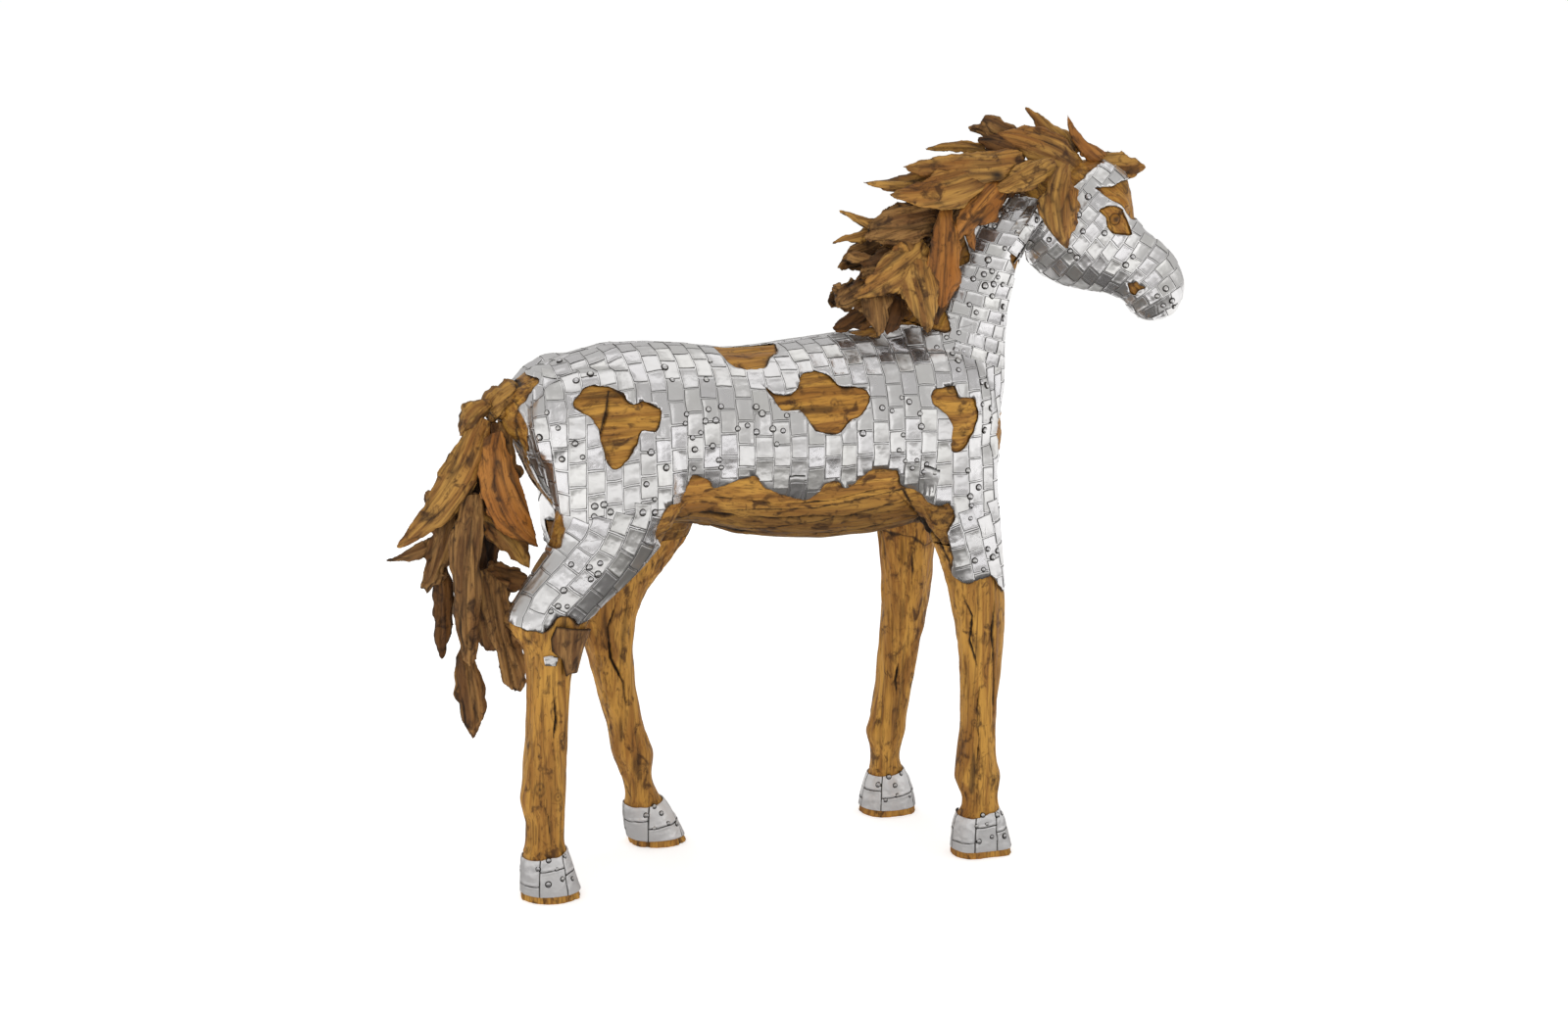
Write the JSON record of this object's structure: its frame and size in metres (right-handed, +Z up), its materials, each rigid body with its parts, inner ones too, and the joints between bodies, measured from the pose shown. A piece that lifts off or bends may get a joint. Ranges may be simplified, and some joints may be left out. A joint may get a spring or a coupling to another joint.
{
  "type": "clad wooden horse sculpture",
  "caption": "Walking horse of carved and assembled wood, clad in riveted embossed sheet metal, with a mane and tail of loose carved shards; stands on its hooves.",
  "frame": {"origin": "centre of the bounding box on the floor under the hooves", "axes": "+X towards the nose, +Y to the horse's left, +Z up"},
  "size_m": [2.0672, 0.5462, 1.8809],
  "materials": {
    "body_wood": "oiled golden brown root wood with knots, cracks and dark blotches",
    "mane_wood": "oiled orange to dark brown wood, rough bark beside polished faces",
    "tail_wood": "oiled brown wood, rough and darker in the hollows",
    "sheet_metal": "bright hammered sheet with pressed seams and dome-headed rivets"
  },
  "bodies": {
    "root": {"head": "body_wood", "hock_slab": "body_wood", "hock_tab": "sheet_metal", "leg_fore_left": "body_wood", "leg_fore_right": "body_wood", "leg_hind_left": "body_wood", "leg_hind_right": "body_wood", "mane_back": "mane_wood", "mane_bark": "mane_wood", "mane_cheek": "mane_wood", "mane_chunk": "mane_wood", "mane_crest": "mane_wood", "mane_drop": "mane_wood", "mane_ear": "mane_wood", "mane_finger": "mane_wood", "mane_forelock": "mane_wood", "mane_fork": "mane_wood", "mane_hanging": "mane_wood", "mane_leaf": "mane_wood", "mane_left_1": "mane_wood", "mane_left_2": "mane_wood", "mane_left_3": "mane_wood", "mane_left_4": "mane_wood", "mane_left_5": "mane_wood", "mane_left_6": "mane_wood", "mane_left_7": "mane_wood", "mane_long": "mane_wood", "mane_low_bark": "mane_wood", "mane_low_slab": "mane_wood", "mane_lump": "mane_wood", "mane_mid_tip": "mane_wood", "mane_point": "mane_wood", "mane_slab": "mane_wood", "mane_spike": "mane_wood", "mane_swept": "mane_wood", "mane_triangle": "mane_wood", "mane_tuck": "mane_wood", "mane_upper_tip": "mane_wood", "neck": "body_wood", "sheet_body": "sheet_metal", "sheet_head": "sheet_metal", "sheet_hoof_fore_left": "sheet_metal", "sheet_hoof_fore_right": "sheet_metal", "sheet_hoof_hind_left": "sheet_metal", "sheet_hoof_hind_right": "sheet_metal", "tail_backing": "tail_wood", "tail_bottom": "tail_wood", "tail_chunk": "tail_wood", "tail_dock": "tail_wood", "tail_leaf": "tail_wood", "tail_lobe": "tail_wood", "tail_log": "tail_wood", "tail_long": "tail_wood", "tail_low_leaf": "tail_wood", "tail_prongs": "tail_wood", "tail_small": "tail_wood", "tail_strip": "tail_wood", "torso": "body_wood"}
  },
  "joints": []
}
